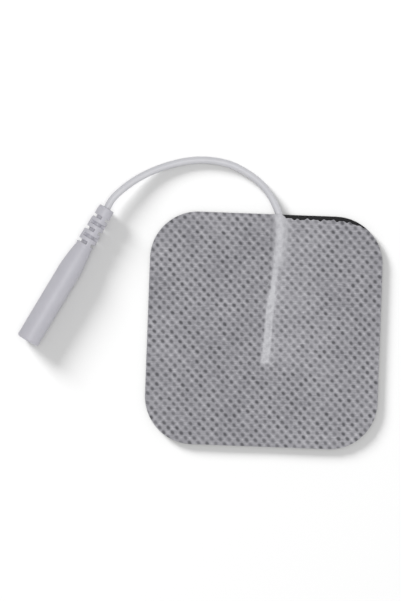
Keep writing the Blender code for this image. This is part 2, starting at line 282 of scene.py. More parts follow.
def add_node(
    tree: bpy.types.NodeTree,
    kind: str,
    settings: dict[str | int, object] | None = None,
    links: dict[str | int, bpy.types.NodeSocket] | None = None,
) -> bpy.types.Node:
    """Add a shader node with its settings and links.

    Args:
        tree: the material's or world's node tree.
        kind: the node's type, without the "ShaderNode" that its name starts with.
        settings: what it is set to. A key in small letters is a property of the node, and a number or a
            key with a capital is an input.
        links: the outputs that feed its inputs.

    Returns:
        The new node.
    """
    node = tree.nodes.new(f"ShaderNode{kind}")
    for key, value in (settings or {}).items():
        if isinstance(key, str) and key[0].islower():
            setattr(node, key, value)
        else:
            node.inputs[key].default_value = value
    for key, output in (links or {}).items():
        tree.links.new(output, node.inputs[key])
    return node


def blank_material(name: str) -> bpy.types.Material:
    """Make a material whose node tree is empty.

    Args:
        name: the finish that it is for.

    Returns:
        The new material.
    """
    result = bpy.data.materials.new(name)
    result.use_nodes = True
    result.node_tree.nodes.clear()
    return result


def dress(item: bpy.types.Object, material: bpy.types.Material) -> None:
    """Give a piece its material, and let it ride on the part.

    Args:
        item: the piece.
        material: its finish.
    """
    item.data.materials.clear()
    item.data.materials.append(material)
    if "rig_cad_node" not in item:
        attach(item, "root")
    LOG.info("%s is dressed in %s", item.name, material.name)


def arc(centre: Station, size: float, start_deg: float, end_deg: float, count: int) -> list[Station]:
    """Work out the stations of a rounded rim.

    Args:
        centre: (radius, height) of the rounding's own centre.
        size: the rounding's radius.
        start_deg: where it starts, from 0, straight out, to 90, straight up.
        end_deg: where it ends.
        count: how many stations it has.

    Returns:
        The stations, in order.
    """
    angles = np.radians(np.linspace(start_deg, end_deg, count))
    return [(centre[0] + size * math.cos(angle), centre[1] + size * math.sin(angle)) for angle in angles]


def lathe(name: str, stations: list[Station], segments: int) -> bpy.types.Object:
    """Model a turned piece about its own +Z, ring by ring.

    Args:
        name: the piece's name.
        stations: (radius, height) of each ring. A profile that ends where it starts is closed, and the
            ends of any other are filled.
        segments: how many points a ring has.

    Returns:
        The piece, with its faces pointing out.
    """
    select_only(None)
    radius, height = stations[0]
    bpy.ops.mesh.primitive_circle_add(vertices=segments, radius=radius, location=(0, 0, height))
    item = bpy.context.active_object
    item.name = item.data.name = name
    settle(item)
    with editing(item):
        for (old_radius, old_height), (radius, height) in zip(stations, stations[1:]):
            rise = {"value": (0, 0, height - old_height)}
            bpy.ops.mesh.extrude_region_move(TRANSFORM_OT_translate=rise)
            share = radius / old_radius
            bpy.ops.transform.resize(value=(share, share, 1), center_override=(0, 0, height))
        bpy.ops.mesh.select_all(action="SELECT")
        bpy.ops.mesh.remove_doubles(threshold=NIL)
        bpy.ops.mesh.fill_holes(sides=0)
        bpy.ops.mesh.normals_make_consistent(inside=False)
    return item


# Finishes


@dataclass(frozen=True)
class BondPattern:
    """The staggered points where hot rollers weld the non-woven's filaments together."""

    pitch: float = 1.88 * MM  # from point to point across the sheet
    row: float = 1.03 * MM  # from row to row, each half a pitch along from the last
    core: float = 0.15 * MM  # radius of a point's fully welded middle
    rim: float = 0.64 * MM  # radius where the weld has faded out
    stretch: float = 1.17  # how much longer and narrower a point is than a round one
    lean_deg: float = -45.0
    depth: float = 0.11 * MM

    def distance(self, x: np.ndarray, y: np.ndarray) -> np.ndarray:
        """Measure how far points of the sheet are from their nearest bond point, by its slanted oval.

        Args:
            x: the points' places across the sheet.
            y: their places along it.

        Returns:
            The distances, in metres.
        """
        falling, rising = x / self.pitch + y / (2 * self.row), x / self.pitch - y / (2 * self.row)
        falling, rising = falling - np.round(falling), rising - np.round(rising)
        off_x, off_y = (falling + rising) * self.pitch / 2, (falling - rising) * self.row
        lean = math.radians(self.lean_deg)
        along = off_x * math.cos(lean) + off_y * math.sin(lean)
        across = off_y * math.cos(lean) - off_x * math.sin(lean)
        return np.hypot(along / self.stretch, across * self.stretch)


@dataclass(frozen=True)
class Nonwoven:
    """Point-bonded polypropylene non-woven: matt grey filaments, and thin welded points that show the film.

    The welded points are dark over the black film and pale over the lead. Painted light lightens the tent's
    flanks against their shade, and a painted highlight lightens the middle of the tufts. Loose fabric is
    lighter, partly because less film shows and partly as painted light. Filaments are far too fine to show,
    so they are drawn as streaks a fifth of a millimetre wide. Each span is the part of a noise that is drawn
    out over its full range.
    """

    pattern: BondPattern
    fibre: str = "#8F8E94"
    fibre_light: str = "#BFBEC3"
    point: str = "#57575B"
    # The pale colour of the lead seen through the fabric, also used as painted light on the tent's flanks.
    lead_band_and_flank_light: str = "#D3D3D7"
    faintest_point: float = 0.50
    hidden: float = 0.9  # how far the lead hides the points over it, and the painted flank light the points beside it
    wander: float = 0.12 * MM  # how far the points stray from their rows
    wander_size: float = 1.3 * MM
    streak_width: float = 0.20 * MM
    streak_length: float = 2.4 * MM
    streak_turns_deg: tuple[float, ...] = (20.0, 78.0, 141.0)
    streak_span: Span = (0.48, 0.78)
    streak_light: float = 0.6
    cloud: float = 9.0 * MM
    cloud_span: Span = (0.35, 0.75)
    cloud_light: float = 0.25
    # A painted highlight on the middle of the tufts between the points.
    tuft_start: float = 0.8  # of a point's rim
    tuft_span: Span = (0.42, 0.62)
    tuft_highlight_strength: float = 0.45
    # Loose fabric is lighter, partly because less of the black film shows and partly as painted light against
    # the tent's shade.
    loose: float = 0.4  # the contact at which the fabric is lightest
    loose_light: float = 0.5
    mottle: float = 0.9 * MM
    mottle_span: Span = (0.34, 0.66)
    veil: Span = (0.44, 0.95)  # least and most of the pale colour over the lead and in the painted flank light
    nap: float = 0.06 * MM
    roughness: float = 0.82

    def material(self) -> bpy.types.Material:
        """Make the finish, which reads the attributes lead_band_and_flank_light and contact.

        Returns:
            The material.
        """
        result = blank_material("point_bonded_nonwoven")
        tree = result.node_tree
        place = add_node(tree, "TexCoord").outputs["Object"]
        # The pale share over the lead, which also carries painted light on the tent's flanks; the points fade
        # there too.
        lead = add_node(tree, "Attribute", {"attribute_name": "lead_band_and_flank_light"}).outputs["Fac"]
        contact = add_node(tree, "Attribute", {"attribute_name": "contact"}).outputs["Fac"]
        streaks = self.streaks(tree, place)
        mask, tuft_highlight = self.bond_mask(tree, place)
        cloud = add_node(tree, "TexNoise", {"Scale": 1 / self.cloud, "Detail": 2.0}, {"Vector": place})
        low, high = self.cloud_span
        lift = add_node(tree, "MapRange", {"From Min": low, "From Max": high, "To Max": self.cloud_light},
                        {"Value": cloud.outputs["Fac"]})
        # Lighter where the fabric lies loose: partly real, partly painted light against the tent's shade.
        loose = add_node(tree, "MapRange",
                         {"From Min": 1.0, "From Max": self.loose, "To Max": self.loose_light},
                         {"Value": contact})
        share = add_node(tree, "Math", {"operation": "MULTIPLY_ADD", 1: self.streak_light},
                         {0: streaks, 2: lift.outputs[0]}).outputs[0]
        # Adds the painted tuft highlight and the lightening of loose fabric.
        for part in (tuft_highlight, loose.outputs[0]):
            share = add_node(tree, "Math", {"operation": "ADD", "use_clamp": True},
                             {0: share, 1: part}).outputs[0]
        cloth = add_node(tree, "Mix",
                         {"data_type": "RGBA", 6: linear(self.fibre), 7: linear(self.fibre_light)},
                         {0: share})
        mottle = add_node(tree, "TexNoise", {"Scale": 1 / self.mottle, "Detail": 3.0}, {"Vector": place})
        (low, high), (thin, thick) = self.mottle_span, self.veil
        veil = add_node(tree, "MapRange",
                        {"From Min": low, "From Max": high, "To Min": thin, "To Max": thick},
                        {"Value": mottle.outputs["Fac"]})
        pale = add_node(tree, "Math", {"operation": "MULTIPLY"}, {0: lead, 1: veil.outputs[0]})
        banded = add_node(tree, "Mix", {"data_type": "RGBA", 7: linear(self.lead_band_and_flank_light)},
                          {0: pale.outputs[0], 6: cloth.outputs[2]})
        clear = add_node(tree, "Math", {"operation": "MULTIPLY_ADD", 1: -self.hidden, 2: 1.0}, {0: lead})
        seen = add_node(tree, "Math", {"operation": "MULTIPLY"}, {0: clear.outputs[0], 1: contact})
        dark = add_node(tree, "Math", {"operation": "MULTIPLY"}, {0: seen.outputs[0], 1: mask})
        colour = add_node(tree, "Mix", {"data_type": "RGBA", 7: linear(self.point)},
                          {0: dark.outputs[0], 6: banded.outputs[2]})
        relief = add_node(tree, "Math", {"operation": "SUBTRACT"}, {0: streaks, 1: mask})
        bump = add_node(tree, "Bump", {"Strength": 0.55, "Distance": self.nap},
                        {"Height": relief.outputs[0]})
        shader = add_node(tree, "BsdfPrincipled",
                          {"Roughness": self.roughness, "IOR": 1.49, "Specular IOR Level": 0.35,
                           "Sheen Weight": 0.15, "Sheen Roughness": 0.5},
                          {"Base Color": colour.outputs[2], "Normal": bump.outputs["Normal"]})
        add_node(tree, "OutputMaterial", links={"Surface": shader.outputs[0]})
        return result

    def streaks(self, tree: bpy.types.NodeTree, place: bpy.types.NodeSocket) -> bpy.types.NodeSocket:
        """Add filaments lying several ways over each other.

        Args:
            tree: the material's node tree.
            place: the point of the sheet.

        Returns:
            An output from 0 to 1 that is highest on the filaments that lie on top.
        """
        top = None
        for turn_deg in self.streak_turns_deg:
            turned = add_node(
                tree, "Mapping",
                {"Rotation": (0.0, 0.0, math.radians(turn_deg)),
                 "Scale": (1 / self.streak_length, 1 / self.streak_width, 1 / self.streak_width)},
                {"Vector": place},
            )
            layer = add_node(tree, "TexNoise", {"Scale": 1.0, "Detail": 3.0, "Distortion": 0.4},
                             {"Vector": turned.outputs[0]}).outputs["Fac"]
            if top is None:
                top = layer
            else:
                top = add_node(tree, "Math", {"operation": "MAXIMUM"}, {0: top, 1: layer}).outputs[0]
        low, high = self.streak_span
        return add_node(tree, "MapRange", {"From Min": low, "From Max": high}, {"Value": top}).outputs[0]

    def bond_mask(
        self, tree: bpy.types.NodeTree, place: bpy.types.NodeSocket
    ) -> tuple[bpy.types.NodeSocket, bpy.types.NodeSocket]:
        """Add the welded points, and a painted highlight on the loose tufts between them.

        Args:
            tree: the material's node tree.
            place: the point of the sheet.

        Returns:
            An output that is about 1 on the welded points and 0 between them, and a painted highlight that
            rises towards the middle of the tufts.
        """
        pattern = self.pattern
        noise = add_node(tree, "TexNoise", {"Scale": 1 / self.wander_size, "Detail": 2.0}, {"Vector": place})
        centred = add_node(tree, "VectorMath", {"operation": "SUBTRACT", 1: (0.5, 0.5, 0.5)},
                           {0: noise.outputs["Color"]})
        moved = add_node(tree, "VectorMath",
                         {"operation": "MULTIPLY_ADD", 1: (2 * self.wander, 2 * self.wander, 0.0)},
                         {0: centred.outputs[0], 2: place}).outputs[0]
        half = 1 / (2 * pattern.row)
        parts = []
        cells = []
        for sign in (1, -1):
            part = add_node(tree, "VectorMath",
                            {"operation": "DOT_PRODUCT", 1: (1 / pattern.pitch, sign * half, 0.0)},
                            {0: moved}).outputs["Value"]
            cell = add_node(tree, "Math", {"operation": "ROUND"}, {0: part}).outputs[0]
            parts.append(add_node(tree, "Math", {"operation": "SUBTRACT"}, {0: part, 1: cell}).outputs[0])
            cells.append(cell)
        sums = [add_node(tree, "Math", {"operation": kind}, {0: parts[0], 1: parts[1]}).outputs[0]
                for kind in ("ADD", "SUBTRACT")]
        offset = add_node(tree, "CombineXYZ", {}, {"X": sums[0], "Y": sums[1]})
        scaled = add_node(tree, "VectorMath",
                          {"operation": "MULTIPLY", 1: (pattern.pitch / 2, pattern.row, 0.0)},
                          {0: offset.outputs[0]})
        oval = add_node(tree, "Mapping",
                        {"vector_type": "TEXTURE", "Rotation": (0.0, 0.0, math.radians(pattern.lean_deg)),
                         "Scale": (pattern.stretch, 1 / pattern.stretch, 1.0)},
                        {"Vector": scaled.outputs[0]})
        far = add_node(tree, "VectorMath", {"operation": "LENGTH"}, {0: oval.outputs[0]}).outputs["Value"]
        near = add_node(tree, "MapRange",
                        {"interpolation_type": "SMOOTHSTEP", "From Min": pattern.core,
                         "From Max": pattern.rim, "To Min": 1.0, "To Max": 0.0},
                        {"Value": far})
        address = add_node(tree, "CombineXYZ", {}, {"X": cells[0], "Y": cells[1]})
        chance = add_node(tree, "TexWhiteNoise", {"noise_dimensions": "2D"}, {"Vector": address.outputs[0]})
        weight = add_node(tree, "MapRange", {"To Min": self.faintest_point, "To Max": 1.0},
                          {"Value": chance.outputs["Value"]})
        mask = add_node(tree, "Math", {"operation": "MULTIPLY"}, {0: near.outputs[0], 1: weight.outputs[0]})
        # Painted highlight: lighter towards the middle of each tuft, as on its raised top.
        tuft_highlight = add_node(tree, "MapRange",
                        {"interpolation_type": "SMOOTHSTEP", "From Min": self.tuft_start * pattern.rim,
                         "From Max": pattern.pitch / 2, "To Min": 0.0, "To Max": self.tuft_highlight_strength},
                        {"Value": far})
        low, high = self.tuft_span
        uneven = add_node(tree, "MapRange", {"From Min": low, "From Max": high},
                          {"Value": noise.outputs["Fac"]})
        lifted = add_node(tree, "Math", {"operation": "MULTIPLY"}, {0: tuft_highlight.outputs[0], 1: uneven.outputs[0]})
        return mask.outputs[0], lifted.outputs[0]


@dataclass(frozen=True)
class SoftPvc:
    """Plasticised PVC, extruded or moulded: an even satin skin with a faint mottle."""

    name: str
    colour: str
    mottle: str
    roughness: Span
    blotch: float = 3.0 * MM
    grain: float = 0.36 * MM
    orange_peel: float = 0.012 * MM
    light_depth: float = 0.3 * MM

    def material(self) -> bpy.types.Material:
        """Make the finish.

        Returns:
            The material.
        """
        result = blank_material(self.name)
        tree = result.node_tree
        place = add_node(tree, "TexCoord").outputs["Object"]
        broad = add_node(tree, "TexNoise", {"Scale": 1 / self.blotch, "Detail": 3.0}, {"Vector": place})
        fine = add_node(tree, "TexNoise", {"Scale": 1 / self.grain, "Detail": 2.0}, {"Vector": place})
        colour = add_node(tree, "Mix",
                          {"data_type": "RGBA", 6: linear(self.colour), 7: linear(self.mottle)},
                          {0: broad.outputs["Fac"]})
        smooth, dull = self.roughness
        rough = add_node(tree, "MapRange",
                         {"From Min": 0.3, "From Max": 0.7, "To Min": smooth, "To Max": dull},
                         {"Value": fine.outputs["Fac"]})
        bump = add_node(tree, "Bump", {"Strength": 0.6, "Distance": self.orange_peel},
                        {"Height": fine.outputs["Fac"]})
        shader = add_node(tree, "BsdfPrincipled",
                          {"IOR": 1.53, "Subsurface Weight": 0.10, "Subsurface Radius": (1.0, 0.9, 0.85),
                           "Subsurface Scale": self.light_depth},
                          {"Base Color": colour.outputs[2], "Roughness": rough.outputs[0],
                           "Normal": bump.outputs["Normal"]})
        add_node(tree, "OutputMaterial", links={"Surface": shader.outputs[0]})
        return result


@dataclass(frozen=True)
class Hydrogel:
    """Conductive hydrogel, cast in a sheet: wet, clear and faintly yellow, so the film shows through."""

    colour: str = "#E4E6D6"
    roughness: Span = (0.08, 0.26)
    ripple: float = 2.2 * MM
    ripple_height: float = 0.05 * MM

    def material(self) -> bpy.types.Material:
        """Make the finish.

        Returns:
            The material.
        """
        result = blank_material("cast_hydrogel")
        tree = result.node_tree
        place = add_node(tree, "TexCoord").outputs["Object"]
        noise = add_node(tree, "TexNoise", {"Scale": 1 / self.ripple, "Detail": 2.0}, {"Vector": place})
        smooth, dull = self.roughness
        rough = add_node(tree, "MapRange", {"To Min": smooth, "To Max": dull},
                         {"Value": noise.outputs["Fac"]})
        bump = add_node(tree, "Bump", {"Strength": 0.5, "Distance": self.ripple_height},
                        {"Height": noise.outputs["Fac"]})
        shader = add_node(tree, "BsdfPrincipled",
                          {"Base Color": linear(self.colour), "IOR": 1.37, "Transmission Weight": 0.93},
                          {"Roughness": rough.outputs[0], "Normal": bump.outputs["Normal"]})
        add_node(tree, "OutputMaterial", links={"Surface": shader.outputs[0]})
        return result


@dataclass(frozen=True)
class CarbonFilm:
    """Carbon-filled polymer film: near black with a low satin sheen and a fine grit of carbon."""

    colour: str = "#0A0A0B"
    grit_colour: str = "#1A1A1C"
    grit: float = 0.25 * MM  # drawn coarser than it is, so that it shows
    grit_height: float = 0.01 * MM

    def material(self) -> bpy.types.Material:
        """Make the finish.

        Returns:
            The material.
        """
        result = blank_material("carbon_filled_film")
        tree = result.node_tree
        place = add_node(tree, "TexCoord").outputs["Object"]
        noise = add_node(tree, "TexNoise", {"Scale": 1 / self.grit, "Detail": 3.0}, {"Vector": place})
        colour = add_node(tree, "Mix",
                          {"data_type": "RGBA", 6: linear(self.colour), 7: linear(self.grit_colour)},
                          {0: noise.outputs["Fac"]})
        bump = add_node(tree, "Bump", {"Strength": 0.3, "Distance": self.grit_height},
                        {"Height": noise.outputs["Fac"]})
        shader = add_node(tree, "BsdfPrincipled", {"Roughness": 0.55, "IOR": 1.5, "Specular IOR Level": 0.15},
                          {"Base Color": colour.outputs[2], "Normal": bump.outputs["Normal"]})
        add_node(tree, "OutputMaterial", links={"Surface": shader.outputs[0]})
        return result


@dataclass(frozen=True)
class PlatedMetal:
    """Metal with a thin bright plating: even, with faint drawing lines that break up its highlights."""

    name: str
    colour: str
    roughness: Span
    line: float  # between two lines, drawn coarser than they are, so that they show
    line_depth: float = 0.01 * MM

    def material(self) -> bpy.types.Material:
        """Make the finish.

        Returns:
            The material.
        """
        result = blank_material(self.name)
        tree = result.node_tree
        place = add_node(tree, "TexCoord").outputs["Object"]
        noise = add_node(tree, "TexNoise", {"Scale": 1 / self.line, "Detail": 2.0}, {"Vector": place})
        smooth, dull = self.roughness
        rough = add_node(tree, "MapRange", {"To Min": smooth, "To Max": dull},
                         {"Value": noise.outputs["Fac"]})
        bump = add_node(tree, "Bump", {"Strength": 0.2, "Distance": self.line_depth},
                        {"Height": noise.outputs["Fac"]})
        shader = add_node(tree, "BsdfPrincipled", {"Base Color": linear(self.colour), "Metallic": 1.0},
                          {"Roughness": rough.outputs[0], "Normal": bump.outputs["Normal"]})
        add_node(tree, "OutputMaterial", links={"Surface": shader.outputs[0]})
        return result


# Sub-assemblies


@dataclass
class Laminate:
    """The pad's outline and the heights of its layers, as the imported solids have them."""

    corner_radius: float = 10.3 * MM

    def __post_init__(self) -> None:
        """Read the layers from the frame."""
        film_top_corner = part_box(Node.FILM.value)[1]
        self.edge = film_top_corner.x
        self.film_top = film_top_corner.z
        self.fabric_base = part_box(Node.FABRIC.value)[0].z
        self.straight = self.edge - self.corner_radius

    def inset(self, x: np.ndarray, y: np.ndarray) -> np.ndarray:
        """Measure how far inside the outline points of the pad lie.

        Args:
            x: the points' places across the pad.
            y: their places along it.

        Returns:
            The distances, in metres.
        """
        over_x, over_y = np.abs(x) - self.straight, np.abs(y) - self.straight
        outside = np.hypot(np.maximum(over_x, 0.0), np.maximum(over_y, 0.0))
        return self.corner_radius - outside - np.minimum(np.maximum(over_x, over_y), 0.0)

    def round_corners(self, x: np.ndarray, y: np.ndarray) -> tuple[np.ndarray, np.ndarray]:
        """Draw the points of a square mesh in to the round corners.

        Args:
            x: the points' places across the pad.
            y: their places along it.

        Returns:
            The new places, across and along.
        """
        over_x, over_y = np.abs(x) - self.straight, np.abs(y) - self.straight
        corner = (over_x > 0) & (over_y > 0)
        shrink = np.maximum(over_x, over_y) / np.maximum(np.hypot(over_x, over_y), NIL)
        new_x = np.copysign(self.straight + over_x * shrink, x)
        new_y = np.copysign(self.straight + over_y * shrink, y)
        return np.where(corner, new_x, x), np.where(corner, new_y, y)


@dataclass
class GelSheet:
    """The skin side: a sheet of gel cut with the pad, its edges a little rounded by its own softness."""

    pad: Laminate
    rim: float = 0.22 * MM
    rim_segments: int = 4
    corner_segments: int = 20
    crease_deg: float = 40.0

    def build(self) -> bpy.types.Object:
        """Model the sheet from a square.

        Returns:
            The sheet.
        """
        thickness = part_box(Node.GEL.value)[1].z
        select_only(None)
        bpy.ops.mesh.primitive_plane_add(size=2 * self.pad.edge)
        sheet = bpy.context.active_object
        sheet.name = sheet.data.name = "gel_sheet"
        with editing(sheet):
            bpy.ops.mesh.bevel(
                offset=self.pad.corner_radius, segments=self.corner_segments, affect="VERTICES"
            )
            bpy.ops.mesh.select_all(action="SELECT")
            bpy.ops.mesh.extrude_region_move(TRANSFORM_OT_translate={"value": (0, 0, thickness)})
            bpy.ops.mesh.select_all(action="SELECT")
            bpy.ops.mesh.normals_make_consistent(inside=False)
        self.select_rims(sheet)
        with editing(sheet, whole=False):
            bpy.ops.mesh.bevel(offset=self.rim, segments=self.rim_segments, affect="EDGES")
        settle(sheet)
        shade(sheet, self.crease_deg)
        dress(sheet, Hydrogel().material())
        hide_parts(Node.GEL.value)
        return sheet

    @staticmethod
    def select_rims(sheet: bpy.types.Object) -> None:
        """Select the edges round the sheet's two faces.

        Args:
            sheet: the sheet, in object mode.
        """
        mesh = sheet.data
        for group in (mesh.vertices, mesh.edges, mesh.polygons):
            group.foreach_set("select", np.zeros(len(group), bool))
        for edge in mesh.edges:
            a, b = (mesh.vertices[i].co for i in edge.vertices)
            edge.select = abs(a.z - b.z) < NIL


@dataclass
class LeadRun:
    """The lead's route: buried under the backing, free round to the plug, and held in its tail.

    The points are those of the solid's route, in metres. The free points carry the height of the lead's
    underside over the floor.
    """

    pad: Laminate
    diameter: float = 1.5 * MM
    gap: float = 0.1 * MM  # round it, to the film below and the backing above
    jacket_inset: float = 10.0 * MM  # how far the jacket reaches into the pad
    grip: float = 12.0 * MM  # and into the plug
    plan_step: float = 0.5 * MM
    buried: tuple[tuple[float, float], ...] = (
        (0.00036, -0.0072),
        (0.00080, -0.0030),
        (0.00106, 0.0025),
        (0.00150, 0.0077),
        (0.00200, 0.0128),
        (0.00260, 0.0180),
        (0.00265, 0.0222),
        (0.00230, 0.0250),
    )
    free: tuple[tuple[float, float, float], ...] = (
        (0.00185, 0.0262, 0.00112),
        (0.0007, 0.0284, 0.00090),
        (-0.0012, 0.0309, 0.00052),
        (-0.0039, 0.0331, 0.00020),
        (-0.0075, 0.0350, 0.00005),
        (-0.0110, 0.0359, 0.00004),
        (-0.0150, 0.0361, 0.00004),
        (-0.0190, 0.0355, 0.00008),
        (-0.0236, 0.0340, 0.00036),
        (-0.0276, 0.0320, 0.00088),
        (-0.0308, 0.0297, 0.00140),
        (-0.03335, 0.0272, 0.00170),
    )

    def __post_init__(self) -> None:
        """Work out the buried run's plan and height."""
        plan = smooth_path([Vector((x, y, 0.0)) for x, y in self.buried], self.plan_step)
        self.plan = np.array([tuple(point) for point in plan])
        self.jacket_end = self.pad.edge - self.jacket_inset
        self.axis_height = self.pad.film_top + self.gap + self.diameter / 2

    def x_at(self, y: np.ndarray | float) -> np.ndarray:
        """Return the buried run's x at given places along the pad."""
        return np.interp(y, self.plan[:, 1], self.plan[:, 0])

    def path(self, plug: Matrix, step: float) -> list[Vector]:
        """Return the jacket's centreline.

        Args:
            plug: the plug's place, whose +Z runs from its tail to its socket.
            step: about how far apart its points are.

        Returns:
            Points from the jacket's end inside the pad to its end inside the plug.
        """
        thirds = np.arange(4) / 3
        buried = self.jacket_end + self.jacket_inset * thirds
        route = [Vector((self.x_at(y), y, self.axis_height)) for y in buried]
        route += [Vector((x, y, underside + self.diameter / 2)) for x, y, underside in self.free]
        route += [plug @ Vector((0, 0, self.grip * share)) for share in thirds]
        return smooth_path(route, step)


@dataclass
class Lead:
    """The lead's PVC jacket, a solid round tube along its route."""

    run: LeadRun
    plug: Matrix
    step: float = 0.6 * MM
    ring_resolution: int = 6
    crease_deg: float = 50.0

    def build(self, plug_pieces: list[bpy.types.Object]) -> bpy.types.Object:
        """Args:
            plug_pieces: the pieces on its far end; not used.

        Returns:
            The jacket.
        """
        path = self.run.path(self.plug, self.step)
        curve = bpy.data.curves.new("lead_jacket", "CURVE")
        curve.dimensions = "3D"
        curve.bevel_depth = self.run.diameter / 2
        curve.bevel_resolution = self.ring_resolution
        curve.use_fill_caps = True
        spline = curve.splines.new("POLY")
        spline.points.add(len(path) - 1)
        for point, co in zip(spline.points, path):
            point.co = (*co, 1.0)
        jacket = bpy.data.objects.new("lead_jacket", curve)
        bpy.context.scene.collection.objects.link(jacket)
        select_only(jacket)
        bpy.ops.object.convert(target="MESH")
        jacket = bpy.context.active_object
        with editing(jacket):
            bpy.ops.mesh.remove_doubles(threshold=NIL)
            bpy.ops.mesh.normals_make_consistent(inside=False)
        shade(jacket, self.crease_deg)
        pvc = SoftPvc("extruded_pvc_jacket", colour="#D3D3D7", mottle="#C7C7CC", roughness=(0.34, 0.46),
                      orange_peel=0.006 * MM)
        dress(jacket, pvc.material())
        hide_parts(Node.LEAD.value)
        exit_point = Vector((self.run.x_at(self.run.pad.edge), self.run.pad.edge, self.run.axis_height))
        return jacket


@dataclass
class Plug:
    """The plug: a PVC moulding over a slit contact for a 2 mm pin, lying on its side.

    Heights run from the tail of the strain relief, 0, to the socket face.
    """

    lead_diameter: float
    grip: float  # how deep the lead goes in
    tail: tuple[float, float] = (-34.6 * MM, 25.0 * MM)
    heading_deg: float = 241.1
    roll_deg: float = -22.5
    length: float = 33.2 * MM
    barrel_diameter: float = 5.0 * MM
    neck_diameter: float = 3.65 * MM
    taper: float = 6.0 * MM  # length of the barrel's shoulder
    taper_power: float = 1.5
    taper_rings: int = 15
    edge_radius: float = 0.5 * MM
    edge_rings: int = 8
    relief: float = 9.6 * MM  # length of the strain relief
    root_diameter: float = 4.0 * MM
    tip_diameter: float = 3.5 * MM
    root_chamfer: float = 0.4 * MM
    tip_radius: float = 0.3 * MM
    tip_rings: int = 6
    slot_width: float = 0.65 * MM
    slot_pitch: float = 3.1 * MM
    first_slot: float = 0.9 * MM  # its middle, from the strain relief's root
    slot_counts: tuple[int, int] = (3, 2)  # from the sides, and from the top and bottom
    slot_rim: float = 0.14 * MM
    rim_rings: tuple[float, ...] = (0.0, 0.1, 0.35, 0.65, 1.0)  # places across a slot's rim
    wall_lean: float = 0.15  # how far a slot's wall leans in, in rims
    sleeve_wall: float = 0.10 * MM  # round the lead, on a slot's floor
    bridge: float = 1.2 * MM  # width of what joins two ribs
    seam: float = 0.035 * MM  # height of the mould's line
    pin_diameter: float = 2.0 * MM
    pin_depth: float = 11.0 * MM
    contact_wall: float = 0.4 * MM
    contact_recess: float = 1.0 * MM  # from the socket face to the contact's
    contact_length: float = 13.0 * MM
    crimp_diameter: float = 1.7 * MM
    crimp_length: float = 3.5 * MM
    crimp_bore: float = 0.8 * MM
    crimp_depth: float = 3.0 * MM
    contact_bevel: float = 0.1 * MM
    slit: tuple[float, float] = (0.3 * MM, 6.0 * MM)  # width and depth
    mouth_chamfer: float = 0.3 * MM
    lead_gap: float = 0.1 * MM
    fit_gap: float = 0.05 * MM
    end_gap: float = 0.3 * MM
    mouth_gap: float = 0.15 * MM  # from the pin to the mouth's wall
    segments: int = 96
    crease_deg: float = 42.0
    contact_crease_deg: float = 35.0

    def place(self) -> Matrix:
        """Work out where the plug lies.

        Returns:
            Its place, whose +Z runs from its tail to its socket.
        """
        heading = Matrix.Rotation(math.radians(self.heading_deg), 4, "Z")
        turn = heading @ Matrix.Rotation(math.radians(90), 4, "Y")
        roll = Matrix.Rotation(math.radians(self.roll_deg), 4, "Z")
        return Matrix.Translation((*self.tail, self.barrel_diameter / 2)) @ turn @ roll

    def slots(self) -> list[tuple[SlotFacing, float]]:
        """List the slots of the strain relief.

        Returns:
            Each slot's facing and the height of its middle.
        """
        highest = self.relief - self.first_slot
        sides, cross = self.slot_counts
        result = [(SlotFacing.SIDES, highest - self.slot_pitch * n) for n in range(sides)]
        result += [(SlotFacing.TOP_AND_BOTTOM, highest - self.slot_pitch * (n + 0.5)) for n in range(cross)]
        return result

    def relief_radius(self, height: float) -> float:
        """Return the strain relief's radius at a height."""
        share = (height - self.tip_radius) / (self.relief - self.root_chamfer - self.tip_radius)
        return (self.tip_diameter + (self.root_diameter - self.tip_diameter) * share) / 2

    def outside(self) -> list[Station]:
        """Work out the moulding's outer profile.

        Returns:
            Its stations, from the socket's mouth down to the tail.
        """
        barrel, neck = self.barrel_diameter / 2, self.neck_diameter / 2
        mouth = self.pin_diameter / 2 + self.mouth_gap + self.mouth_chamfer
        result = [(mouth, self.length)]
        edge = (barrel - self.edge_radius, self.length - self.edge_radius)
        result += arc(edge, self.edge_radius, 90, 0, self.edge_rings)
        result += [(barrel, self.relief + self.taper + (self.length - self.relief - self.taper) * share)
                   for share in (0.75, 0.5, 0.25)]
        for share in np.linspace(0, 1, self.taper_rings):
            radius = barrel - (barrel - neck) * share**self.taper_power
            result.append((radius, self.relief + self.taper * (1 - share)))
        heights = {self.relief - self.root_chamfer}
        for _, middle_height in self.slots():
            for side in (-1, 1):
                wall = middle_height + side * self.slot_width / 2
                heights |= {wall + side * self.slot_rim * share for share in self.rim_rings}
                heights.add(wall - side * self.slot_rim * self.wall_lean)
        result += [(self.relief_radius(height), height) for height in sorted(heights, reverse=True)]
        tip = (self.tip_diameter / 2 - self.tip_radius, self.tip_radius)
        return result + arc(tip, self.tip_radius, 0, -90, self.tip_rings)

    def contact_bore(self) -> float:
        """Return the radius of the bore that holds the contact."""
        return self.pin_diameter / 2 + self.contact_wall + self.fit_gap

    def contact_heights(self) -> tuple[float, float, float]:
        """Work out where the contact lies along the plug.

        Returns:
            The heights of its face, of its shoulder and of its crimped tail.
        """
        face = self.length - self.contact_recess
        shoulder = face - self.contact_length
        return face, shoulder, shoulder - self.crimp_length

    def inside(self) -> list[Station]:
        """Work out the profile of the moulding's bores.

        Returns:
            Its stations, from the tail up to the socket's mouth.
        """
        lead = self.lead_diameter / 2 + self.lead_gap
        core, crimp = self.crimp_bore / 2, self.crimp_diameter / 2 + self.fit_gap
        contact = self.contact_bore()
        mouth = self.pin_diameter / 2 + self.mouth_gap
        face, shoulder, tail = self.contact_heights()
        return [
            (lead, 0.0),
            (lead, self.grip + self.end_gap),
            (core, self.grip + self.end_gap),
            (core, tail - self.end_gap),
            (crimp, tail - self.end_gap),
            (crimp, shoulder - self.end_gap),
            (contact, shoulder - self.end_gap),
            (contact, face + self.end_gap),
            (mouth, face + self.end_gap),
            (mouth, self.length - self.mouth_chamfer),
            (mouth + self.mouth_chamfer, self.length),
        ]

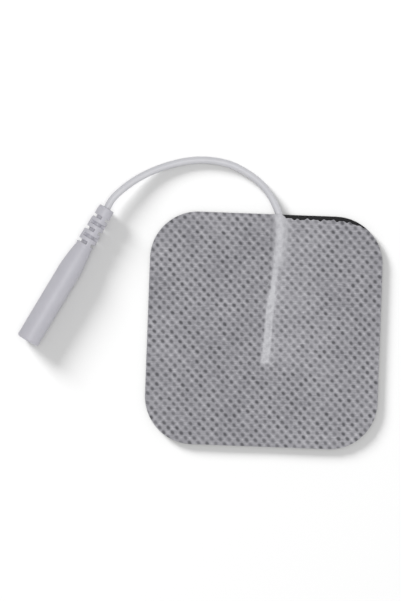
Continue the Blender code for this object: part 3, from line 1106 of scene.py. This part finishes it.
    def press_slots(self, moulding: bpy.types.Object) -> None:
        """Press the slots into the strain relief.

        Where a slot is, the wall stands back to a sleeve round the lead, beside two bridges that reach from
        rib to rib. The ribs' edges are a little rounded.

        Args:
            moulding: the turned moulding, still on its own axis.
        """
        points = read_points(moulding)
        radius = np.hypot(points[:, 0], points[:, 1])
        sleeve = self.lead_diameter / 2 + self.lead_gap + self.sleeve_wall
        outer = radius > self.lead_diameter / 2 + 2 * self.lead_gap
        for facing, middle in self.slots():
            past = np.abs(points[:, 2] - middle) - self.slot_width / 2
            rounding = 1 - np.sqrt(np.clip(1 - (1 - past / self.slot_rim) ** 2, 0.0, 1.0))
            beside = np.abs(points[:, facing.value]) - self.bridge / 2
            depth = np.where(past < -NIL, radius - sleeve, rounding * self.slot_rim)
            depth = depth * ease(beside, -self.slot_rim / 2, self.slot_rim / 2)
            share = np.where(outer & (past < self.slot_rim), 1 - depth / radius, 1.0)
            points[:, :2] *= share[:, None]
        write_points(moulding, points)

    def raise_seam(self, moulding: bpy.types.Object) -> None:
        """Raise the fine line that the two halves of the mould leave along both sides.

        Args:
            moulding: the moulding, still on its own axis.
        """
        points = read_points(moulding)
        barrel = (points[:, 2] > self.relief) & (points[:, 2] < self.length - self.edge_radius)
        outer = np.abs(points[:, 1]) > self.contact_bore() + NIL
        on_seam = barrel & outer & (np.abs(points[:, 0]) < NIL)
        points[on_seam, 1] += np.copysign(self.seam, points[on_seam, 1])
        write_points(moulding, points)

    def build_moulding(self) -> bpy.types.Object:
        """Model the PVC moulding.

        Returns:
            The moulding.
        """
        moulding = lathe("plug_moulding", [*self.outside(), *self.inside()], self.segments)
        self.press_slots(moulding)
        self.raise_seam(moulding)
        settle(moulding, self.place())
        shade(moulding, self.crease_deg)
        pvc = SoftPvc("moulded_pvc_plug", colour="#C3C2C9", mottle="#B9B8C0", roughness=(0.38, 0.52))
        dress(moulding, pvc.material())
        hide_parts(Node.PLUG.value)
        return moulding

    def build_contact(self) -> bpy.types.Object:
        """Model the contact, slit so that it springs on the pin.

        Returns:
            The contact.
        """
        pin = self.pin_diameter / 2
        outer = pin + self.contact_wall
        face, shoulder, tail = self.contact_heights()
        bevel = self.contact_bevel
        stations = [
            (pin, face - self.pin_depth),
            (pin, face - bevel),
            (pin + bevel, face),
            (outer - bevel, face),
            (outer, face - bevel),
            (outer, shoulder),
            (self.crimp_diameter / 2, shoulder),
            (self.crimp_diameter / 2, tail),
            (self.crimp_bore / 2, tail),
            (self.crimp_bore / 2, tail + self.crimp_depth),
        ]
        contact = lathe("contact_sleeve", stations, self.segments // 2)
        width, depth = self.slit
        cutter_size = (width, 3 * outer, 2 * depth)
        select_only(None)
        bpy.ops.mesh.primitive_cube_add(size=1.0, location=(0, 0, face), scale=cutter_size)
        cutter = bpy.context.active_object
        cut = contact.modifiers.new("slit", "BOOLEAN")
        cut.operation = "DIFFERENCE"
        cut.object = cutter
        apply_modifiers(contact)
        bpy.data.objects.remove(cutter, do_unlink=True)
        settle(contact, self.place())
        shade(contact, self.contact_crease_deg)
        nickel = PlatedMetal("nickel_plated_brass", "#CFCAC0", roughness=(0.168, 0.336), line=0.3 * MM)
        dress(contact, nickel.material())
        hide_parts(Node.CONTACT.value)
        return contact


@dataclass
class Backing:
    """The non-woven backing: a thin sheet bonded to the film and tented over the buried lead."""

    pad: Laminate
    run: LeadRun
    pattern: BondPattern
    thickness: float = 0.4 * MM
    steps_a_pitch: int = 8
    steps_a_row: int = 4
    crease_deg: float = 60.0
    core_diameter: float = 0.7 * MM
    strand_diameter: float = 0.25 * MM
    fan_spread: float = 1.4 * MM  # width of the fanned strands
    twist: float = 7.5 * MM  # from the jacket's end to where the strands fan out
    bare: float = 22.2 * MM  # from the jacket's end to the strands' end
    skirt: float = 1.5 * MM  # how far the tent reaches past what it covers
    change: float = 2.2 * MM  # length over which the tent changes its height
    setback: float = 0.9 * MM  # from the film's edge to the fabric's
    setback_start: float = 2.0 * MM  # from the lead, where the edge is all the way in
    setback_fade: Span = (17.2 * MM, 23.2 * MM)
    ragged: float = 0.18 * MM
    # The cut edge's teeth: the length of each wave, and its share of the ragged depth.
    teeth: tuple[tuple[float, float], ...] = ((1.88 * MM, 0.8), (1.13 * MM, 0.55), (4.3 * MM, 0.5))
    press_reach: float = 1.15  # how far the rollers press round a point, in rims of a point
    pressed_edge: float = 0.5 * MM
    pressed_depth: float = 0.14 * MM
    swell: float = 0.03 * MM  # how far the sheet rises and sinks in its waves
    swell_size: Span = (3.1 * MM, 2.3 * MM)
    swell_phase: Span = (1.3, 0.4)
    # The pale band over the lead: its half width over the jacket, the core and the fanned strands.
    band_half_widths: tuple[float, float, float] = (0.98 * MM, 0.55 * MM, 0.85 * MM)
    band_fade: Span = (0.75, 1.25)  # of a band's half width
    # Painted light that lightens the tent's flanks against the shade on them: how far it reaches, the tent
    # height that brings it in, and its share on each side.
    flank_fade: Span = (1.3 * MM, 3.0 * MM)  # from the band's middle
    full_flank_light_height: float = 2.0 * MM  # tent height at which the painted light on the flanks is full
    right_flank_light: float = 0.85
    least_right_flank_light: float = 0.25
    left_flank_light: float = 0.22
    band_end: float = 0.5 * MM  # how softly the band ends
    tent_slack: float = 0.45  # how far off the film the tent looks: partly its real lift, partly painted light against its shade
    tent_height: float = 0.8 * MM  # height by which the fabric is fully off the film
    side_slack: float = 0.22  # and the fabric to the right of it, also partly painted light against the shade there
    side_start: Span = (0.0, 2.0 * MM)
    side_fade: Span = (4.0 * MM, 14.0 * MM)
    slack_end: Span = (4.0 * MM, 6.0 * MM)  # how far past and before the strands' end slack fades

    def __post_init__(self) -> None:
        """Work out where the core starts to fan out and where its strands end."""
        self.fan_start = self.run.jacket_end - self.twist
        self.strands_end = self.run.jacket_end - self.bare

    def lines(self, step: float) -> np.ndarray:
        """Return the places of the mesh's lines, in step with the bond points, with one on each edge."""
        count = math.ceil(self.pad.edge / step) - 1
        return np.concatenate([[-self.pad.edge], np.arange(-count, count + 1) * step, [self.pad.edge]])

    def covered(self, y: np.ndarray) -> tuple[np.ndarray, np.ndarray, np.ndarray]:
        """Describe what lies under the tent at places along the pad.

        Args:
            y: the places along the pad.

        Returns:
            The height that the fabric needs there, the half width that stays flat on top of the fanned
            strands, and the radius that the tent falls round beyond it.
        """
        gap = self.run.gap
        jacket, fan, end = self.run.jacket_end, self.fan_start, self.strands_end
        on_core = 1 - ease(y, jacket - self.change, jacket - gap)
        on_fan = 1 - ease(y, fan - self.change, fan - gap)
        spread = 1 - ease(y, fan - self.change, fan + self.change)
        over_jacket = self.run.axis_height + self.run.diameter / 2 + gap - self.pad.fabric_base
        over_core, over_fan = self.core_diameter + gap, self.strand_diameter + gap
        height = over_jacket + (over_core - over_jacket) * on_core + (over_fan - over_core) * on_fan
        height = height * ease(y, end - self.change, end - gap)
        radius = (self.run.diameter + (self.core_diameter - self.run.diameter) * on_core) / 2
        return height, self.fan_spread / 2 * spread, radius

    def underside(self, x: np.ndarray, y: np.ndarray) -> np.ndarray:
        """Work out the height of the fabric's underside.

        Args:
            x: the points' places across the pad.
            y: their places along it.

        Returns:
            The height at each point.
        """
        height, crest, radius = self.covered(y)
        away = np.maximum(np.abs(x - self.run.x_at(y)) - crest, 0.0) / (radius + self.skirt)
        return self.pad.fabric_base + height * (1 + np.cos(np.pi * np.minimum(away, 1.0))) / 2

    def set_back(self, x: np.ndarray, y: np.ndarray) -> np.ndarray:
        """Work out how far the fabric's edge is drawn in, ragged as it was cut.

        Args:
            x: the points' places across the pad.
            y: their places along it.

        Returns:
            The distance at each point.
        """
        start = self.run.x_at(self.pad.edge)
        shown = ease(x, start, start + self.setback_start)
        shown = shown * (1 - ease(x, *self.setback_fade))
        teeth = sum(share * np.sin(2 * np.pi * x / wave + wave / MM) for wave, share in self.teeth)
        return (self.setback + self.ragged * teeth) * shown * ease(y, self.pad.straight, self.pad.edge)

    def build(self) -> bpy.types.Object:
        """Returns:
            The backing.
        """
        columns = self.lines(self.pattern.pitch / self.steps_a_pitch)
        rows = self.lines(self.pattern.row / self.steps_a_row)
        across, along = len(columns) - 1, len(rows) - 1
        select_only(None)
        bpy.ops.mesh.primitive_grid_add(x_subdivisions=across, y_subdivisions=along, size=2.0)
        cloth = bpy.context.active_object
        cloth.name = cloth.data.name = "nonwoven_backing"
        grid = read_points(cloth)
        column = np.round((grid[:, 0] + 1) / 2 * across).astype(int)
        row = np.round((grid[:, 1] + 1) / 2 * along).astype(int)
        x, y = self.pad.round_corners(columns[column], rows[row])
        height = self.underside(x, y)
        write_points(cloth, np.stack([x, y - self.set_back(x, y), height], axis=1))
        wall = cloth.modifiers.new("thickness", "SOLIDIFY")
        wall.thickness = self.thickness
        wall.offset = 1.0
        wall.use_even_offset = True
        apply_modifiers(cloth)
        self.emboss(cloth)
        self.paint_contact(cloth)
        shade(cloth, self.crease_deg)
        dress(cloth, Nonwoven(self.pattern).material())
        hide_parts(Node.FABRIC.value)
        return cloth

    def emboss(self, cloth: bpy.types.Object) -> None:
        """Press the bond points and the cut edge into the fabric's upper face.

        Args:
            cloth: the sheet with its thickness.
        """
        points = read_points(cloth)
        x, y = points[:, 0], points[:, 1]
        upper = points[:, 2] > self.underside(x, y) + self.thickness / 2
        near = 1 - ease(self.pattern.distance(x, y), 0.0, self.pattern.rim * self.press_reach)
        rim = 1 - ease(self.pad.inset(x, y), 0.0, self.pressed_edge)
        waves = [np.sin(place / size + phase)
                 for place, size, phase in zip((x, y), self.swell_size, self.swell_phase)]
        press = self.pattern.depth * near + self.pressed_depth * rim + self.swell * waves[0] * waves[1]
        points[upper, 2] -= press[upper]
        write_points(cloth, points)

    def paint_contact(self, cloth: bpy.types.Object) -> None:
        """Store where the lead lies beneath and how closely the fabric lies on the film.

        The first also carries painted light that lightens the tent's flanks against the shade on them. The
        second lightens the loose fabric, partly because less of the black film shows and partly as painted
        light against the tent's shade.

        Args:
            cloth: the finished sheet.
        """
        points = read_points(cloth)
        x, y = points[:, 0], points[:, 1]
        away, end = x - self.run.x_at(y), self.strands_end
        on_jacket, on_core, on_fan = self.band_half_widths
        half = np.where(y > self.run.jacket_end, on_jacket, np.where(y > self.fan_start, on_core, on_fan))
        band = 1 - ease(np.abs(away) / half, *self.band_fade)
        # Painted light on the flanks, against their shade: stronger where the tent is tall, and more on the
        # right.
        flank_light_by_tent = ease(self.covered(y)[0], 0.0, self.full_flank_light_height)
        right = np.maximum(self.right_flank_light * flank_light_by_tent, self.least_right_flank_light)
        left = self.left_flank_light * flank_light_by_tent
        flank = np.where(away > 0, right, left) * (1 - ease(np.abs(away), *self.flank_fade))
        # The pale share: the band over the lead, and the painted light on the flanks.
        over = np.maximum(band, flank) * ease(y, end - self.band_end, end + self.band_end)
        paint(cloth, "lead_band_and_flank_light", over)
        # The loose fabric is painted lighter: partly real, as less of the black film shows, and partly
        # painted light against the tent's shade.
        height = self.underside(x, y) - self.pad.fabric_base
        tented = self.tent_slack * ease(height, self.run.gap, self.tent_height)
        beside = self.side_slack * ease(away, *self.side_start) * (1 - ease(away, *self.side_fade))
        past, before = self.slack_end
        slack = (tented + beside) * ease(y, end - past, end + before)
        paint(cloth, "contact", 1 - slack)


@dataclass(frozen=True)
class Lamp:
    """A soft round lamp: its share of the light on the floor, the way to it, its size and what it lights."""

    name: str
    share: float
    tilt_deg: float
    azimuth_deg: float
    size: float
    floor_only: bool = False


@dataclass
class Studio:
    """A white floor, soft light from above, and a camera that looks straight down.

    The lamp above and the world give the object a light of 1 together. The other lamp stands low at the
    upper left and lights only the floor, so that the shadow there is as deep as in the photograph.
    """

    low: Vector
    high: Vector
    image: tuple[int, int] = (401, 601)
    fill: float = 0.90  # the object's share of the frame's width
    turn_deg: float = 2.1
    distance: float = 0.9
    sensor: float = 36.0
    ambient: float = 0.52
    lamps: tuple[Lamp, ...] = (
        Lamp("overhead", share=0.48, tilt_deg=4.0, azimuth_deg=-45.0, size=1.80),
        Lamp("floor_key", share=0.80, tilt_deg=65.5, azimuth_deg=136.0, size=0.90, floor_only=True),
    )
    lamp_distance: float = 2.5
    nearest: float = 0.01
    floor_size: float = 6.0
    floor_white: str = "#C5C5C5"
    floor_lift: float = 0.06  # added to what the floor shows of its light

    def build(self) -> None:
        """Add the camera, the floor, the lamps and the world."""
        self.add_camera()
        floor = self.add_floor()
        for lamp in self.lamps:
            self.add_lamp(lamp, floor)
        self.add_world()
        bpy.context.scene.view_settings.view_transform = "Standard"

    def middle(self) -> Vector:
        """Return the middle of the object on the floor."""
        centre = (self.low + self.high) / 2
        return Vector((centre.x, centre.y, 0.0))

    def add_camera(self) -> None:
        """Look straight down, turned as the photograph is, with the object across most of the frame."""
        frame_width = (self.high.x - self.low.x) / self.fill
        frame_height = frame_width * self.image[1] / self.image[0]
        data = bpy.data.cameras.new("camera")
        data.sensor_fit = "AUTO"
        data.sensor_width = self.sensor
        data.lens = self.sensor * self.distance / frame_height
        data.clip_start = self.nearest
        camera = bpy.data.objects.new("camera", data)
        bpy.context.scene.collection.objects.link(camera)
        camera.location = self.middle() + Vector((0, 0, self.distance))
        camera.rotation_euler = (0.0, 0.0, math.radians(self.turn_deg))
        bpy.context.scene.camera = camera

    def add_lamp(self, lamp: Lamp, floor: bpy.types.Object) -> None:
        """Add a lamp, as strong as gives its share of the light that shows a colour as written.

        Args:
            lamp: what it is.
            floor: the floor, which is all that some lamps light.
        """
        tilt, azimuth = math.radians(lamp.tilt_deg), math.radians(lamp.azimuth_deg)
        way = Vector((math.sin(tilt) * math.cos(azimuth), math.sin(tilt) * math.sin(azimuth), math.cos(tilt)))
        data = bpy.data.lights.new(lamp.name, "AREA")
        data.shape = "DISK"
        data.size = lamp.size
        data.energy = lamp.share * (math.pi * self.lamp_distance) ** 2 / math.cos(tilt)
        light = bpy.data.objects.new(lamp.name, data)
        bpy.context.scene.collection.objects.link(light)
        light.location = self.middle() + way * self.lamp_distance
        light.rotation_euler = way.to_track_quat("Z", "Y").to_euler()
        if lamp.floor_only:
            lit = bpy.data.collections.new(f"lit_by_{lamp.name}")
            lit.objects.link(floor)
            light.light_linking.receiver_collection = lit

    def backdrop_rays(self, tree: bpy.types.NodeTree) -> bpy.types.NodeSocket:
        """Tell the rays that show the backdrop from those that light.

        Args:
            tree: the floor's or the world's node tree.

        Returns:
            An output that is 1 for the rays that show the backdrop, and 0 for the others.
        """
        path = add_node(tree, "LightPath")
        first = add_node(tree, "Math", {"operation": "ADD"},
                         {0: path.outputs["Is Camera Ray"], 1: path.outputs["Is Glossy Ray"]})
        both = add_node(tree, "Math", {"operation": "ADD", "use_clamp": True},
                        {0: first.outputs[0], 1: path.outputs["Is Transmission Ray"]})
        return both.outputs[0]

    def add_floor(self) -> bpy.types.Object:
        """Lay the floor, lifted to white where it is lit so that it keeps the shadow.

        Returns:
            The floor.
        """
        select_only(None)
        bpy.ops.mesh.primitive_plane_add(size=self.floor_size)
        floor = bpy.context.active_object
        floor.name = "floor"
        material = blank_material("white_floor")
        tree = material.node_tree
        plain = add_node(tree, "BsdfDiffuse", {"Color": linear(self.floor_white)})
        glow = add_node(tree, "Emission", {"Strength": self.floor_lift})
        lifted = add_node(tree, "AddShader", {}, {0: plain.outputs[0], 1: glow.outputs[0]})
        mixed = add_node(tree, "MixShader", {},
                         {0: self.backdrop_rays(tree), 1: plain.outputs[0], 2: lifted.outputs[0]})
        add_node(tree, "OutputMaterial", links={"Surface": mixed.outputs[0]})
        floor.data.materials.append(material)
        floor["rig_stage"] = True
        return floor

    def add_world(self) -> None:
        """Surround the scene with even light, and with white for the rays that show the backdrop."""
        world = bpy.data.worlds.new("studio")
        bpy.context.scene.world = world
        world.use_nodes = True
        tree = world.node_tree
        tree.nodes.clear()
        strength = add_node(tree, "MapRange", {"To Min": self.ambient, "To Max": 1.0},
                            {"Value": self.backdrop_rays(tree)})
        back = add_node(tree, "Background", {"Color": linear("#FFFFFF")},
                        {"Strength": strength.outputs[0]})
        add_node(tree, "OutputWorld", links={"Surface": back.outputs[0]})


def main() -> None:
    """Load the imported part, dress it from the skin side up, and light it."""
    logging.basicConfig(level=logging.INFO, format="%(name)s: %(message)s")
    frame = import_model()
    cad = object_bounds()
    Studio(*(Vector(corner) for corner in cad)).build()
    pad = Laminate()
    run = LeadRun(pad)
    plug = Plug(run.diameter, run.grip)
    nodes = frame["nodes"]
    tinned = PlatedMetal("tinned_copper_strand", "#CBC7BF", roughness=(0.252, 0.504), line=0.15 * MM)
    copper = tinned.material()
    dress(nodes[Node.FILM.value], CarbonFilm().material())
    dress(nodes[Node.CORE.value], copper)
    dress(nodes[Node.CORE_TAIL.value], copper)
    GelSheet(pad).build()
    Backing(pad, run, BondPattern()).build()
    plug_pieces = [plug.build_moulding(), plug.build_contact(), nodes[Node.CORE_TAIL.value]]
    Lead(run, plug.place()).build(plug_pieces)


if __name__ == "__main__":
    main()
